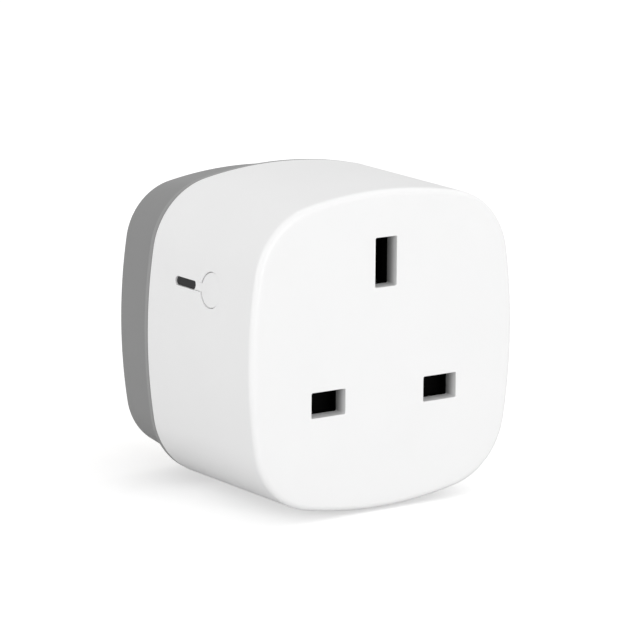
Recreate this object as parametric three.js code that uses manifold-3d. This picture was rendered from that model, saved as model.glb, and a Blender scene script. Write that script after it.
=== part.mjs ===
// A plug-through smart plug for flat three-pin wall sockets, as an assembly of its separate pieces.
// Millimetres. +Z is up, +Y points into the wall, and the origin is the middle of the wall face.
import * as THREE from "three";
import { mergeVertices } from "three/addons/utils/BufferGeometryUtils.js";
import Module from "manifold-3d";

const wasm = await Module();
wasm.setup();

// ---------- driving dimensions ----------

// Case
const coverWidth = 53.1; // across the seam, where the case is widest
const coverHeight = 54;
const coverDepth = 31.2; // front face to seam
const baseDepth = 12.8; // seam to wall face
const sideRadius = 92; // bow of the left and right sides
const topRadius = 74; // bow of the top and bottom
const cornerRadius = 13.1;
const coverDraft = 0.45; // how far the front has drawn in from the seam
const frontFillet = 1.1;
const sideWall = 1.8;
const frontWall = 2.8;
const baseInset = 2.35; // how far the base has drawn in at the wall face
const baseRearFillet = 0.6;
const lipDepth = 0.95; // the base's flush lip behind the seam
const lipInset = 0.06;
const coveInset = 1.45; // step from the lip down to the base's side
const coveDepth = 2.6;
const baseFloor = 2.5;
const baseWallInset = 4; // seam outline to the inside of the base
const tongueDepth = 2.2; // the base's rim that locates inside the cover
const label = { width: 20, height: 7.5, middle: -17, thickness: 0.2, recess: 0.35, edge: 0.1 };

// Pins and their apertures
const pinPitch = 22.23; // live to neutral, and earth above the line between them
const earthHeight = 14.7; // earth pin above the middle of the case
const flatPin = { width: 6.35, height: 3.97, length: 17.7, headWidth: 8, headHeight: 5.6 };
const earthPin = { width: 3.97, height: 7.95, length: 22.73, headWidth: 5.2, headHeight: 9.4 };
const pinTip = 2.2; // length of the tapered tip
const pinTipInset = 1.3;
const pinHead = 1.7; // thickness of the head inside the base
const pinTail = { width: 1, height: 2.6 }; // through the main board
const pinFit = 0.06; // clearance between a pin and what it passes through
const sleeveLength = 9.5;
const sleeveWall = 0.5;
const apertureFit = 0.24; // aperture over pin, on each side

// Shutter
const guidePlate = 1.6;
const shutterPlate = 1.8;
const shutterTravel = 5.3;
const shutterOverlap = 0.5; // how far a closed flap covers past its aperture
const shutterFit = 0.2;
const guideRail = 1.4;
const guideToPost = 2.1; // guide plate to screw posts
const springRadius = 1.6;
const springWire = 0.22; // wire radius
const springTurns = 5;

// Contacts
const sheet = 0.6; // contact metal
const tailSheet = 0.8;
const tailWidth = 4;
const grip = 0.25; // how far each jaw stands inside the pin's surface
const contactDepth = 11.2; // mouth to web of a live or neutral contact
const earthContactDepth = 9.7;
const blockWall = 1.2;
const blockSide = 2.7; // block beyond the flat pins' outer edges
const blockOver = 3.9; // block above the flat pins
const blockUnder = 4; // block below them
const blockCrown = 2.2; // block above the earth pin

// Button and indicator, on the left side
const buttonRadius = 2.85;
const buttonGap = 0.15;
const buttonFromFront = 12.85;
const buttonHeight = 10.55; // above the middle of the case
const buttonTravel = 0.5;
const flangeOverlap = 0.85;
const flange = 0.7;
const slotHeight = 1.5;
const windowLength = 5.85;
const windowFromFront = 17.44; // front end of the window
const padInset = 2.75; // flat seat inside the side wall, from the seam outline's widest point

// Boards and what stands on the main one, each placed by its middle [x, z]
const boardThickness = 1.6;
const boardGap = 2; // base floor to main board
const controlBoard = 1;
const relaySize = { width: 10.4, length: 18.8, height: 15.4, foot: 1, round: 0.9 };
const coil = { half: 5, height: 12, tube: 5.2, bore: 4, core: 3.6, limb: 1.6, z: 6 };
const filterBox = { place: [9.4, 16.9], width: 7, height: 5.2, tall: 9.5 };
const bulkCan = { place: [-12, 6.5], radius: 4, tall: 12 };
const smoothingCan = { place: [-9.7, -17.6], radius: 3, tall: 11 };
const disc = { place: [-9.4, 16.6], radius: 4, thickness: 3.4 };
const fuseBody = { place: [9.7, -17.6], radius: 2, tall: 10 };
const bridge = { place: [17, -10.5], width: 4, height: 4.6, tall: 2.4 };
const meterChip = { place: [-2.5, 10], width: 5, height: 2.6, legs: 4 };
const supplyChip = { place: [17, -3.6], width: 4, height: 2.6, legs: 3 };

// Fasteners
const screwShank = 1.15;
const screwHead = 2.2;
const screwHeadDepth = 1.6;
const screwLength = 11;
const bossRadius = 2.5;
const bossGap = 1.97; // boss to the inside of the cover's corner
const columnWall = 1.3;
const headRecess = 3; // wall face to screw head
const columnDepth = 8; // wall face to the end of the base's screw columns
const fit = 0.1; // clearance between fixed pieces
const seating = 0.05; // clearance between pieces that bear on each other

// ---------- levels worked out from them ----------

const frontFace = -(coverDepth + baseDepth);
const seam = -baseDepth;
const coverInside = frontFace + frontWall;
const guideFront = coverInside + fit;
const guideBack = guideFront + guidePlate;
const shutterFront = guideBack + shutterFit;
const shutterBack = shutterFront + shutterPlate;
const blockFront = shutterBack + 0.3;
const floorInside = -baseFloor;
const boardBack = floorInside - boardGap;
const boardFront = boardBack - boardThickness;
const tailEnd = boardBack + 0.6;
const flatHeight = earthHeight - pinPitch; // line of the live and neutral pins
const flatX = pinPitch / 2;
const flatContactFront = blockFront + 0.4;
const flatContactBack = flatContactFront + contactDepth;
const earthContactFront = blockFront + 5.8;
const earthContactBack = earthContactFront + earthContactDepth;

// ---------- solids ----------

// A closed geometry as a solid that can be cut and joined.
function solidOf(geometry) {
  geometry.deleteAttribute("normal");
  geometry.deleteAttribute("uv");
  const merged = mergeVertices(geometry, 1e-4);
  const vertProperties = merged.attributes.position.array;
  return new wasm.Manifold(
    new wasm.Mesh({ numProp: 3, vertProperties, triVerts: new Uint32Array(merged.index.array) }),
  );
}

function geometryOf(solid) {
  const mesh = solid.getMesh();
  const geometry = new THREE.BufferGeometry();
  geometry.setAttribute("position", new THREE.BufferAttribute(mesh.vertProperties, 3));
  geometry.setIndex(new THREE.BufferAttribute(mesh.triVerts, 1));
  return geometry;
}

const join = (...solids) => solids.reduce((all, next) => all.add(next));
const cut = (body, ...tools) => tools.reduce((left, tool) => left.subtract(tool), body);

function block([x0, x1], [y0, y1], [z0, z1]) {
  const box = new THREE.BoxGeometry(x1 - x0, y1 - y0, z1 - z0);
  return solidOf(box.translate((x0 + x1) / 2, (y0 + y1) / 2, (z0 + z1) / 2));
}

// A box of the given width and height about (x, z), from y0 to y1.
const bar = (x, z, width, height, y0, y1) =>
  block([x - width / 2, x + width / 2], [y0, y1], [z - height / 2, z + height / 2]);

// A round bar along Y about (x, z).
function rodY(x, z, radius, y0, y1, sides = 24) {
  const rod = new THREE.CylinderGeometry(radius, radius, y1 - y0, sides);
  return solidOf(rod.translate(x, (y0 + y1) / 2, z));
}

// A round bar along X about (y, z).
function rodX(y, z, radius, x0, x1, sides = 28) {
  const rod = new THREE.CylinderGeometry(radius, radius, x1 - x0, sides);
  return solidOf(rod.rotateZ(-Math.PI / 2).translate((x0 + x1) / 2, y, z));
}

const axisX = new THREE.Vector3(1, 0, 0);
const axisY = new THREE.Vector3(0, 1, 0);
const axisZ = new THREE.Vector3(0, 0, 1);

function extrude(shape, depth, basis, options) {
  const settings = { depth, bevelEnabled: false, curveSegments: 4, ...options };
  return new THREE.ExtrudeGeometry(shape, settings).applyMatrix4(basis);
}

// Shapes drawn in (y, z) run along X, those in (x, z) run along Y, and those in (x, y) run along Z.
function extrudeX(shape, x0, x1) {
  const basis = new THREE.Matrix4().makeBasis(axisY, axisZ, axisX).setPosition(x0, 0, 0);
  return solidOf(extrude(shape, x1 - x0, basis));
}

function extrudeY(shape, y0, y1) {
  const basis = new THREE.Matrix4().makeBasis(axisX, axisZ, axisY.clone().negate()).setPosition(0, y1, 0);
  return solidOf(extrude(shape, y1 - y0, basis));
}

function extrudeZ(shape, z0, z1) {
  return solidOf(extrude(shape, z1 - z0, new THREE.Matrix4().setPosition(0, 0, z0)));
}

function polygon(...points) {
  return new THREE.Shape(points.map(([x, y]) => new THREE.Vector2(x, y)));
}

// The outline of a metal strip of even thickness that follows a bent line.
function stripShape(line, thickness) {
  const points = line.map(([x, y]) => new THREE.Vector2(x, y));
  const sides = [1, -1].map((side) =>
    points.map((point, i) => {
      const before = point.clone().sub(points[Math.max(i - 1, 0)]);
      const after = points[Math.min(i + 1, points.length - 1)].clone().sub(point);
      const into = (i ? before : after).normalize();
      const out = (i < points.length - 1 ? after : before).normalize();
      const mitre = new THREE.Vector2(-(into.y + out.y), into.x + out.x).normalize();
      const reach = thickness / 2 / Math.max(mitre.dot(new THREE.Vector2(-into.y, into.x)), 0.3);
      return point.clone().addScaledVector(mitre, side * reach);
    }),
  );
  return new THREE.Shape([...sides[0], ...sides[1].reverse()].reverse());
}

// ---------- the case outline ----------

// Four shallow arcs joined by four corner arcs. An inset keeps every arc's centre and shortens its radius.
const sideCentre = coverWidth / 2 - sideRadius;
const topCentre = coverHeight / 2 - topRadius;

function cornerCentre() {
  const from = new THREE.Vector2(sideCentre, 0);
  const to = new THREE.Vector2(0, topCentre);
  const apart = from.distanceTo(to);
  const toSide = sideRadius - cornerRadius;
  const toTop = topRadius - cornerRadius;
  const along = (toSide ** 2 - toTop ** 2 + apart ** 2) / (2 * apart);
  const off = Math.sqrt(toSide ** 2 - along ** 2);
  const way = to.sub(from).normalize();
  return from.addScaledVector(way, along).add(new THREE.Vector2(-way.y, way.x).multiplyScalar(off));
}

const corner = cornerCentre();
const sideAngle = Math.atan2(corner.y, corner.x - sideCentre);
const topAngle = Math.atan2(corner.x, corner.y - topCentre);

function outlinePoints(inset, sideSteps = 5, cornerSteps = 6) {
  const half = Math.PI / 2;
  const arcs = [];
  for (let turn = 0; turn < 4; turn++) {
    const upright = turn % 2 === 0; // the left and right sides
    const centre = upright ? new THREE.Vector2(sideCentre, 0) : new THREE.Vector2(topCentre, 0);
    const next = upright ? corner.clone() : new THREE.Vector2(corner.y, corner.x);
    const [near, far] = upright ? [sideAngle, topAngle] : [topAngle, sideAngle];
    const radius = upright ? sideRadius : topRadius;
    arcs.push({ centre, radius, from: -near, to: near, steps: sideSteps, turn });
    arcs.push({ centre: next, radius: cornerRadius, from: near, to: half - far, steps: cornerSteps, turn });
  }
  return arcs.flatMap(({ centre, radius, from, to, steps, turn }) =>
    Array.from({ length: steps }, (_, i) => {
      const angle = from + ((to - from) * i) / steps;
      const reach = new THREE.Vector2(Math.cos(angle), Math.sin(angle)).multiplyScalar(radius - inset);
      return reach.add(centre).rotateAround(new THREE.Vector2(), turn * half);
    }),
  );
}

// The direction straight out of the outline at a point on it.
function outlineNormal(x, z) {
  const [u, v] = [Math.abs(x), Math.abs(z)];
  const onSide = Math.atan2(v, u - sideCentre) < sideAngle;
  const onTop = Math.atan2(u, v - topCentre) < topAngle;
  const centre = onSide ? [sideCentre, 0] : onTop ? [0, topCentre] : [corner.x, corner.y];
  const normal = new THREE.Vector2(u - centre[0], v - centre[1]).normalize();
  return normal.multiply(new THREE.Vector2(Math.sign(x), Math.sign(z)));
}

// A solid whose outline is inset by each [inset, y] of a profile, from the wall side to the front.
function caseLoft(profile) {
  const steps = profile.length - 1;
  const shape = new THREE.Shape(outlinePoints(0));
  const geometry = new THREE.ExtrudeGeometry(shape, { depth: steps, steps, bevelEnabled: false });
  const position = geometry.getAttribute("position");
  for (let i = 0; i < position.count; i++) {
    const [inset, y] = profile[Math.round(position.getZ(i))];
    const [x, z] = [position.getX(i), position.getY(i)];
    const normal = outlineNormal(x, z);
    position.setXYZ(i, x - normal.x * inset, y, z - normal.y * inset);
  }
  return solidOf(geometry);
}

// Quarter-round profile points that end an outline at the level y, on the side that the sign gives.
function filletProfile(inset, y, radius, sign, steps = 3) {
  return Array.from({ length: steps + 1 }, (_, i) => {
    const angle = (i / steps) * (Math.PI / 2);
    const back = radius * (1 - Math.sin(angle));
    return [inset + radius * (1 - Math.cos(angle)), y + sign * back];
  });
}

const bossReach = (cornerRadius - sideWall - bossRadius - bossGap) / Math.SQRT2;
const bosses = [-1, 1].flatMap((right) =>
  [-1, 1].map((up) => [right * (corner.x + bossReach), up * (corner.y + bossReach)]),
);

const apertures = [
  [0, earthHeight, earthPin],
  [flatX, flatHeight, flatPin],
  [-flatX, flatHeight, flatPin],
];
const apertureTools = (y0, y1) =>
  apertures.map(([x, z, pin]) =>
    bar(x, z, pin.width + 2 * apertureFit, pin.height + 2 * apertureFit, y0, y1),
  );

// ---------- cover ----------

const coverOutside = caseLoft([
  [0, seam],
  ...filletProfile(coverDraft, frontFace, frontFillet, 1),
]);

// A plate across X at the button's height: its outer x, thickness, y range and height.
const sidePlate = (x, thickness, y0, y1, height) =>
  block([x, x + thickness], [y0, y1], [buttonHeight - height / 2, buttonHeight + height / 2]);

const buttonY = frontFace + buttonFromFront;
const windowFront = frontFace + windowFromFront;
const windowBack = windowFront + windowLength;
const padX = -(coverWidth / 2 - padInset);
const outerX = -(coverWidth / 2 + 2);

// The slot between the button and the window, with round ends, drawn in (y, z).
function slotShape(y0, y1, height) {
  const end = height / 2;
  const shape = new THREE.Shape();
  shape.absarc(y1 - end, buttonHeight, end, -Math.PI / 2, Math.PI / 2, false);
  shape.absarc(y0 + end, buttonHeight, end, Math.PI / 2, (3 * Math.PI) / 2, false);
  return shape;
}

function frontCover() {
  const hollow = caseLoft([
    [sideWall, seam + 1],
    [sideWall + coverDraft, coverInside],
  ]);
  const posts = bosses.map(([x, z]) => rodY(x, z, bossRadius, coverInside - 1, -columnDepth - fit));
  const pilots = bosses.map(([x, z]) =>
    rodY(x, z, screwShank + 0.08, -(headRecess + screwHeadDepth + screwLength + 1), 0, 16),
  );
  const seatReach = buttonRadius + flangeOverlap + 0.6;
  const seatDepths = [buttonY - seatReach, windowBack + 1.2];
  const seatHeights = [buttonHeight - seatReach, buttonHeight + seatReach];
  const seat = block([padX, padX + 3], seatDepths, seatHeights);
  const round = rodX(buttonY, buttonHeight, buttonRadius + buttonGap, outerX, padX + 1, 32);
  const slot = extrudeX(slotShape(buttonY, windowBack, slotHeight), outerX, padX + 1);
  const shell = join(cut(coverOutside, hollow), ...posts);
  return cut(shell, ...pilots, seat, round, slot, ...apertureTools(frontFace - 1, coverInside + 1));
}

// ---------- base ----------

function rearBase() {
  const coveFrom = seam + lipDepth;
  const cove = [0, 0.12, 0.35, 0.65, 1].map((share) => [
    lipInset + coveInset * Math.sqrt(1 - (1 - share) ** 2),
    coveFrom + coveDepth * share,
  ]);
  const outside = caseLoft([
    ...filletProfile(baseInset, 0, baseRearFillet, -1, 2).reverse(),
    ...cove.reverse(),
    [lipInset, seam],
  ]);
  const tongue = caseLoft([
    [sideWall + 0.25, seam + 0.5],
    [sideWall + 0.35, seam - tongueDepth],
  ]);
  const hollow = caseLoft([
    [baseWallInset, floorInside],
    [baseWallInset, seam - tongueDepth - 1],
  ]);
  const columnRadius = screwHead + 0.2 + columnWall;
  const columns = bosses.map(([x, z]) => rodY(x, z, columnRadius, -columnDepth, floorInside + 0.5));
  const recesses = bosses.map(([x, z]) => rodY(x, z, screwHead + 0.2, -headRecess - screwHeadDepth, 1));
  const holes = bosses.map(([x, z]) => rodY(x, z, screwShank + 0.3, -columnDepth - 1, 1, 16));
  const pinHoles = apertures.map(([x, z, pin]) =>
    bar(x, z, pin.width + 2 * pinFit, pin.height + 2 * pinFit, floorInside - 1, 1),
  );
  const bossRoom = bosses.map(([x, z]) =>
    rodY(x, z, bossRadius + 0.25, seam - tongueDepth - 1, -columnDepth),
  );
  const labelRecess = bar(0, label.middle, label.width + 2 * label.edge, label.height + 2 * label.edge,
    -label.recess, 1);
  const shell = cut(join(outside, tongue), hollow);
  return cut(join(shell, ...columns), ...recesses, ...holes, ...pinHoles, ...bossRoom, labelRecess);
}

function ratingLabel() {
  const back = -label.recess + seating;
  return bar(0, label.middle, label.width, label.height, back, back + label.thickness);
}

// ---------- pins, each about its own axis ----------

function pinBlade({ width, height, length }, from) {
  const shape = polygon(
    [-width / 2, -height / 2],
    [width / 2, -height / 2],
    [width / 2, height / 2],
    [-width / 2, height / 2],
  );
  const taper = {
    bevelEnabled: true,
    bevelThickness: pinTip,
    bevelSize: pinTipInset,
    bevelOffset: -pinTipInset,
    bevelSegments: 1,
  };
  const top = length - pinTip;
  const basis = new THREE.Matrix4().makeBasis(axisX, axisZ, axisY.clone().negate()).setPosition(0, top, 0);
  return solidOf(extrude(shape, top - from, basis, taper));
}

function pin(size) {
  const headFront = floorInside - fit - pinHead;
  const blade = pinBlade(size, headFront + pinTip);
  const head = bar(0, 0, size.headWidth, size.headHeight, headFront, floorInside - fit);
  const tail = bar(0, 0, pinTail.width, pinTail.height, boardFront - 1.8, headFront + 0.2);
  return join(blade, head, tail);
}

const sleeveBand = (neck, y0, y1) =>
  bar(0, 0, flatPin.width - 2 * neck, flatPin.height - 2 * neck, y0, y1);

function sleevedPin() {
  const groove = cut(bar(0, 0, 9, 9, floorInside - fit, sleeveLength), sleeveBand(sleeveWall, -9, 20));
  return cut(pin(flatPin), groove);
}

function pinSleeve() {
  const outside = sleeveBand(0, floorInside, sleeveLength - pinFit);
  return cut(outside, sleeveBand(sleeveWall - pinFit, -9, 20));
}

// ---------- shutter and its guide ----------

const apertureHalf = flatPin.height / 2 + apertureFit;
const flapTop = flatHeight + apertureHalf + shutterOverlap;
const flapBottom = flatHeight - apertureHalf - shutterOverlap;
const flapOuter = flatX + flatPin.width / 2 + apertureFit + 0.3;
const blockHalfWidth = flatX + flatPin.width / 2 + blockSide;
const blockBottom = flatHeight - flatPin.height / 2 - blockUnder;
const blockShoulder = flatHeight + flatPin.height / 2 + blockOver;
const blockTop = earthHeight + earthPin.height / 2 + blockCrown;
const earthBlockHalf = earthPin.width / 2 + blockSide + 0.9;
const lugTop = blockBottom - 0.5;
const lugBottom = lugTop - 1;
const springSeat = -(coverHeight / 2 - sideWall - coverDraft - 1.2);
const springY = shutterFront + springRadius + 0.3;
const ledgeThickness = 0.8;
const guideHalfWidth = bosses[3][0] - bossRadius - guideToPost;

// The plate's outline is wide at the flat apertures, and narrower above and below them.
function shutterGuide() {
  const waist = blockBottom + 0.2;
  const half = [
    [4.5, springSeat - ledgeThickness],
    [4.5, waist - 2.5],
    [guideHalfWidth, waist - 2.5],
    [guideHalfWidth, waist],
    [blockHalfWidth, waist],
    [blockHalfWidth, blockShoulder],
    [guideHalfWidth, blockShoulder],
    [guideHalfWidth, blockTop],
  ];
  const plate = polygon(...half, ...half.map(([x, z]) => [-x, z]).reverse());
  const railHeights = [blockBottom + 0.3, blockShoulder - 0.3];
  const rails = [-1, 1].map((side) => {
    const reach = [blockHalfWidth - guideRail, blockHalfWidth].map((x) => x * side);
    return block(reach.sort((a, b) => a - b), [guideFront + 0.5, blockFront - fit], railHeights);
  });
  const ledgeDepths = [guideFront + 0.5, springY + springRadius + 0.6];
  const ledge = block([-3, 3], ledgeDepths, [springSeat - ledgeThickness, springSeat]);
  const seat = join(extrudeY(plate, guideFront, guideBack), ...rails, ledge);
  return cut(seat, ...apertureTools(guideFront - 1, guideBack + 0.1));
}

function shutter() {
  const flaps = [-1, 1].map((side) =>
    block(
      side > 0 ? [flapOuter - 7.9, flapOuter] : [-flapOuter, 7.9 - flapOuter],
      [shutterFront, shutterBack],
      [flapBottom, flapTop],
    ),
  );
  const crossbar = block([-8, 8], [shutterFront, shutterBack], [flapBottom, flapBottom + 3.3]);
  const rampFoot = earthHeight - earthPin.height / 2 - apertureFit - 0.1;
  const tongue = block([-2.3, 2.3], [shutterFront, shutterBack], [lugBottom, rampFoot - 2.5]);
  const lug = block([-2.2, 2.2], [shutterFront, springY + springRadius], [lugBottom, lugTop]);
  const ramp = polygon(
    [shutterFront, rampFoot - 3],
    [shutterBack, rampFoot - 3],
    [shutterBack, rampFoot - 0.8],
    [shutterFront + shutterTravel + 0.1, rampFoot + 2.2],
    [shutterFront + shutterTravel + 0.1, rampFoot + shutterTravel + 0.1],
    [shutterFront, rampFoot],
  );
  return join(...flaps, crossbar, tongue, lug, extrudeX(ramp, -1.85, 1.85));
}

// A coil of round wire along Z, standing on z = 0.
class Helix extends THREE.Curve {
  constructor(radius, height, turns) {
    super();
    Object.assign(this, { radius, height, turns });
  }
  getPoint(share, target = new THREE.Vector3()) {
    const angle = share * this.turns * 2 * Math.PI;
    return target.set(this.radius * Math.cos(angle), this.radius * Math.sin(angle), this.height * share);
  }
}

function shutterSpring() {
  const length = lugBottom - springSeat - 2 * fit - 2 * springWire;
  const path = new Helix(springRadius - springWire, length, springTurns);
  const wire = new THREE.Shape().absarc(0, 0, springWire, 0, 2 * Math.PI, false);
  const settings = { steps: springTurns * 14, extrudePath: path, curveSegments: 3 };
  return solidOf(new THREE.ExtrudeGeometry(wire, settings));
}

// ---------- contact block and contacts ----------

const flatPocketBack = flatContactBack + 0.4;
const earthPocketBack = earthContactBack + 0.4;
const flatTailDrop = flatPin.height / 2 + 1.615; // a tail below its pin's axis
const earthTailShift = earthPin.width / 2 + 1.415; // the earth tail beside its pin's axis

function contactBlock() {
  const lower = block(
    [-blockHalfWidth, blockHalfWidth],
    [blockFront, flatPocketBack + blockWall],
    [blockBottom, blockShoulder],
  );
  const upper = block(
    [-earthBlockHalf, earthBlockHalf],
    [blockFront, earthPocketBack + blockWall],
    [blockShoulder - 1, blockTop],
  );
  const pocketWidth = flatPin.width + 1.25;
  const pocketHeight = flatPin.height + 2 * sheet + 3.43;
  const pockets = [-1, 1].map((side) =>
    bar(side * flatX, flatHeight - 0.3, pocketWidth, pocketHeight, blockFront - 1, flatPocketBack),
  );
  const earthHalf = earthBlockHalf - 1.4;
  const earthFloor = earthHeight - earthPin.height / 2 - shutterTravel - 1.4;
  const earthCeiling = earthHeight + earthPin.height / 2 + 0.8;
  const earthPocket = block(
    [-earthHalf, earthHalf],
    [blockFront - 1, earthPocketBack],
    [earthFloor, earthCeiling],
  );
  const slotAcross = tailWidth + 0.4;
  const slotThrough = tailSheet + 0.4;
  const flatSlots = [-1, 1].map((side) =>
    bar(side * flatX, flatHeight - flatTailDrop, slotAcross, slotThrough, flatPocketBack - 1, tailEnd),
  );
  const earthSlot = bar(earthTailShift, earthHeight, slotThrough, slotAcross, earthPocketBack - 1, tailEnd);
  return cut(join(lower, upper), ...pockets, earthPocket, ...flatSlots, earthSlot);
}

// Half of a jaw's line, from its flared mouth back to its web: [along the pin, away from its axis].
function jawLine(front, back, pinThickness) {
  const pinch = pinThickness / 2 - grip + sheet / 2;
  return [
    [front, pinch + 0.85],
    [front + 2.2, pinch + 0.1],
    [front + 3.6, pinch],
    [back - 1.8, pinch + 0.4],
    [back - sheet / 2, pinch + 0.4],
  ];
}

function flatContact() {
  const half = jawLine(flatContactFront, flatContactBack, flatPin.height);
  const line = [...half, ...half.map(([y, z]) => [y, -z]).reverse()];
  const web = flatContactBack - sheet / 2;
  const tail = [
    [web, -1.6],
    [web, -flatTailDrop],
    [tailEnd, -flatTailDrop],
  ];
  const jawHalf = flatPin.width / 2 - 0.175;
  const jaws = extrudeX(stripShape(line, sheet), -jawHalf, jawHalf);
  return join(jaws, extrudeX(stripShape(tail, tailSheet), -tailWidth / 2, tailWidth / 2));
}

function earthContact() {
  const half = jawLine(earthContactFront, earthContactBack, earthPin.width).map(([y, x]) => [x, y]);
  const line = [...half, ...half.map(([x, y]) => [-x, y]).reverse()];
  const web = earthContactBack - sheet / 2;
  const tail = [
    [1.6, web],
    [earthTailShift, web],
    [earthTailShift, tailEnd],
  ];
  const jawHalf = earthPin.height / 2 - 0.775;
  const jaws = extrudeZ(stripShape(line, sheet), -jawHalf, jawHalf);
  return join(jaws, extrudeZ(stripShape(tail, tailSheet), -tailWidth / 2, tailWidth / 2));
}

// ---------- button, window and switch ----------

const flangeFront = padX + 0.15;
const plungerTip = flangeFront + flange + 0.3;
const switchFace = plungerTip + buttonTravel + 0.1;
const switchDepth = 1.9;
const controlX = switchFace + switchDepth + 0.05; // outer face of the control board

function buttonCap() {
  const neckEnd = windowFront - 0.05;
  const round = rodX(buttonY, buttonHeight, buttonRadius, outerX, flangeFront + 0.1, 32);
  const neckHalf = slotHeight / 2 - 0.08;
  const neckHeights = [buttonHeight - neckHalf, buttonHeight + neckHalf];
  const neck = block([outerX, flangeFront + 0.1], [buttonY, neckEnd], neckHeights);
  const cap = join(round, neck).intersect(coverOutside);
  const rim = rodX(buttonY, buttonHeight, buttonRadius + flangeOverlap, flangeFront, flangeFront + flange);
  const rimNeck = sidePlate(flangeFront, flange, buttonY, neckEnd, slotHeight + 1.2);
  const stem = rodX(buttonY, buttonHeight, 1.2, flangeFront + flange - 0.1, plungerTip - 0.05, 16);
  return join(cap, rim, rimNeck, stem);
}

function indicatorWindow() {
  const shape = slotShape(windowFront, windowBack - 0.04, slotHeight - 0.08);
  const lens = extrudeX(shape, outerX, flangeFront + 0.1).intersect(coverOutside.translate(0.1, 0, 0));
  return join(lens, sidePlate(flangeFront, 0.5, windowFront + 0.3, windowBack + 0.7, slotHeight + 1.2));
}

const ledX = controlX - 0.85;

function lightGuide() {
  const middle = (windowFront + windowBack) / 2;
  const from = flangeFront + 0.5 + 0.05;
  const shape = polygon(
    [from, windowFront + 0.8],
    [from + 0.5, windowFront + 0.8],
    [ledX - 0.15, middle - 0.9],
    [ledX - 0.15, middle + 0.9],
    [from + 0.5, windowBack - 0.8],
    [from, windowBack - 0.8],
  );
  return extrudeZ(new THREE.Shape(shape.getPoints().reverse()), buttonHeight - 0.6, buttonHeight + 0.6);
}

function switchBody() {
  const body = sidePlate(switchFace, switchDepth, buttonY - 2.25, buttonY + 2.25, 4.5);
  return cut(body, rodX(buttonY, buttonHeight, 1.15, switchFace - 1, switchFace + 1.5, 16));
}

function statusLed() {
  const middle = (windowFront + windowBack) / 2;
  return sidePlate(ledX, 0.8, middle - 0.8, middle + 0.8, 0.8);
}

const switchPlunger = () => rodX(buttonY, buttonHeight, 1, plungerTip, switchFace + 0.9, 16);

// ---------- boards ----------

const controlFront = frontFace + 6;
const controlBack = boardFront - 0.2;
const controlTop = corner.y + bossReach - bossRadius - 1.2;
const controlBottom = blockShoulder + 1;

// Holes in the main board for the contacts' tails and the pins' tails.
function tailHoles() {
  const across = tailWidth + 0.3;
  const through = tailSheet + 0.4;
  const hole = (x, z, width, height) => bar(x, z, width, height, boardFront - 1, 0);
  return [
    hole(flatX, flatHeight - flatTailDrop, across, through),
    hole(-flatX, flatHeight - flatTailDrop, across, through),
    hole(earthTailShift, earthHeight, through, across),
    ...apertures.map(([x, z]) => hole(x, z, pinTail.width + 0.3, pinTail.height + 0.3)),
  ];
}

function mainBoard() {
  const board = caseLoft([
    [baseWallInset + 0.8, boardBack],
    [baseWallInset + 0.8, boardFront],
  ]);
  const notchRadius = screwHead + 0.2 + columnWall + 0.25;
  const notches = bosses.map(([x, z]) => rodY(x, z, notchRadius, boardFront - 1, 0));
  const clearCorners = bosses.map(([x, z]) => rodY(x * 1.2, z * 1.2, notchRadius, boardFront - 1, 0));
  return cut(board, ...notches, ...clearCorners, ...tailHoles());
}

const controlCard = () =>
  block([controlX, controlX + controlBoard], [controlFront, controlBack], [controlBottom, controlTop]);

// ---------- parts on the boards ----------

const onBoard = boardFront - 0.1;
const inner = controlX + controlBoard + 0.05; // inner face of the control board

function shieldCan() {
  return block([inner, inner + 1.9], [onBoard - 16, onBoard - 3], [controlBottom + 0.6, controlTop - 5.75]);
}

const controlHeader = () =>
  block([inner, inner + 2], [onBoard - 2.2, onBoard], [controlTop - 4.75, controlTop - 0.75]);

// A box relay below the block's upper part: its foot, and a case with rounded edges on it.
function relay() {
  const { width, length, height, foot, round } = relaySize;
  const top = blockShoulder - 1.6;
  const middle = top - length / 2;
  const [x, z] = [width / 2 - 0.2 - round, length / 2 - 0.2 - round];
  const corners = [
    [x, middle - z],
    [x, middle + z],
    [-x, middle + z],
    [-x, middle - z],
  ];
  const shape = new THREE.Shape();
  corners.forEach(([cx, cz], i) => {
    const from = ((i - 1) * Math.PI) / 2;
    shape.absarc(cx, cz, round, from, from + Math.PI / 2, false);
  });
  return {
    foot: bar(0, middle, width, length, onBoard - foot, onBoard),
    shell: extrudeY(shape, onBoard - height, onBoard - foot - seating),
  };
}

// A transformer beside the block's upper part: bobbin, winding, and a core through and around both.
function transformer() {
  const { half, height, tube, bore, core, limb, z } = coil;
  const x = earthBlockHalf + 2 * limb + half;
  const [bottom, top] = [onBoard, onBoard - height];
  const square = (side, y0, y1) => bar(x, z, side, side, y0, y1);
  const flanges = [square(2 * half, top, top + 1), square(2 * half, bottom - 1, bottom)];
  const spool = join(square(tube, top, bottom), ...flanges);
  const winding = rodY(x, z, half - 0.4, top + 1 + seating, bottom - 1 - seating, 28);
  const window = bar(x, z, 2 * (half + fit), 2 * core, top - fit, bottom + fit);
  const frame = bar(x, z, 2 * (half + limb), core, top - fit - limb, bottom - seating);
  const middleLimb = bar(x, z, bore - 0.2, core, top - 1, bottom - 3);
  return {
    bobbin: cut(spool, square(bore, top - 1, bottom + 1)),
    winding: cut(winding, square(tube + 0.1, top, bottom)),
    core: join(cut(frame, window), middleLimb),
  };
}

const standing = ({ place: [x, z], width, height, tall }) =>
  bar(x, z, width, height, onBoard - tall, onBoard);

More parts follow.
